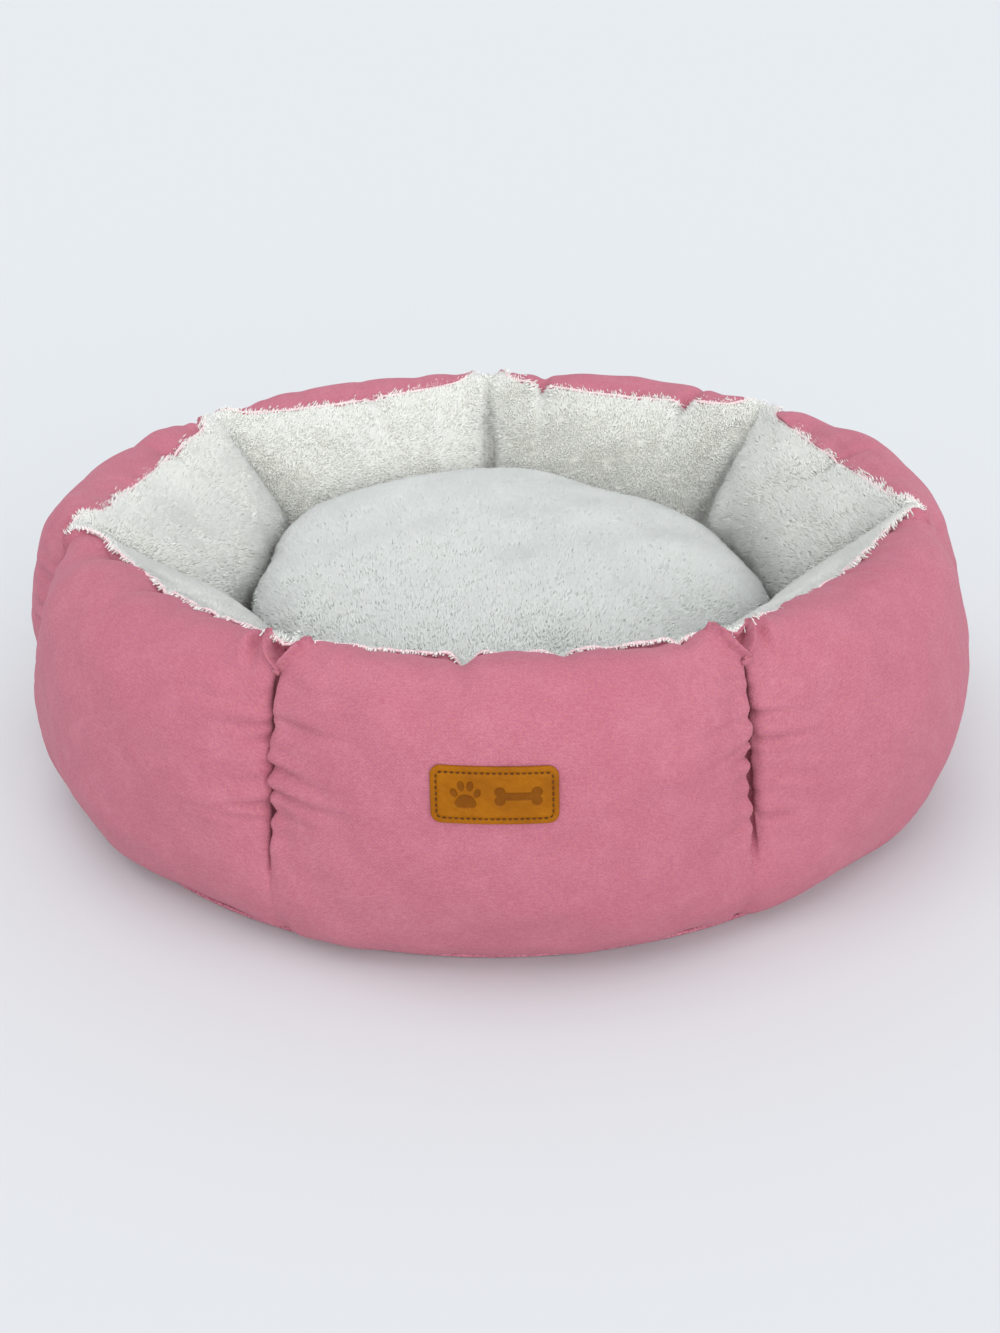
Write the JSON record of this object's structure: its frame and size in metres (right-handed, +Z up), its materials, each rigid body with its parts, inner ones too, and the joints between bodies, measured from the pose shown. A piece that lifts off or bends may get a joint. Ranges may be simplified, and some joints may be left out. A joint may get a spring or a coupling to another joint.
{
  "type": "pet cushion bed",
  "caption": "Low round pet bed: a stuffed wall pinched into panels at its corners, plush inside and woven cloth outside, round a loose domed cushion.",
  "frame": {"origin": "on the floor, at the centre of the base fabric's underside, on the axis of the seven-sided wall", "axes": "+Z up; -Y is the front, where the label is sewn; +X is to the right seen from the front"},
  "size_m": [0.5846, 0.582, 0.1658],
  "materials": {
    "cover_cloth": "matt heathered woven cloth, dusty pink",
    "plush": "short dense plush pile, off-white",
    "fibre": "loose white polyester fibre",
    "cover_thread": "matt pink sewing thread",
    "pale_thread": "pale seam edge with thread",
    "white_thread": "off-white seam and thread",
    "base_cloth": "plain grey non-slip cloth",
    "label_leather": "ochre brown leather, faintly grained",
    "label_thread": "brown waxed thread"
  },
  "bodies": {
    "bed": {"outer_cover": "cover_cloth", "wall_lining": "plush", "rim_seam": "pale_thread", "base_fabric": "base_cloth", "base_seam": "cover_thread", "base_pad": "fibre", "floor_lining": "plush", "floor_seam": "white_thread", "label_patch": "label_leather", "label_stitching": "label_thread", "bolster_fill_1": "fibre", "bolster_fill_2": "fibre", "bolster_fill_3": "fibre", "bolster_fill_4": "fibre", "bolster_fill_5": "fibre", "bolster_fill_6": "fibre", "bolster_fill_7": "fibre", "corner_tack_1": "cover_thread", "corner_tack_2": "cover_thread", "corner_tack_3": "cover_thread", "corner_tack_4": "cover_thread", "corner_tack_5": "cover_thread", "corner_tack_6": "cover_thread", "corner_tack_7": "cover_thread"},
    "cushion": {"cushion_top": "plush", "cushion_bottom": "plush", "cushion_fill": "fibre", "cushion_seam": "white_thread"}
  },
  "joints": [
    {"name": "cushion_lift", "type": "slide", "parent": "bed", "child": "cushion", "axis": [0, 0, 1], "range_m": [0, 0.25]}
  ]
}
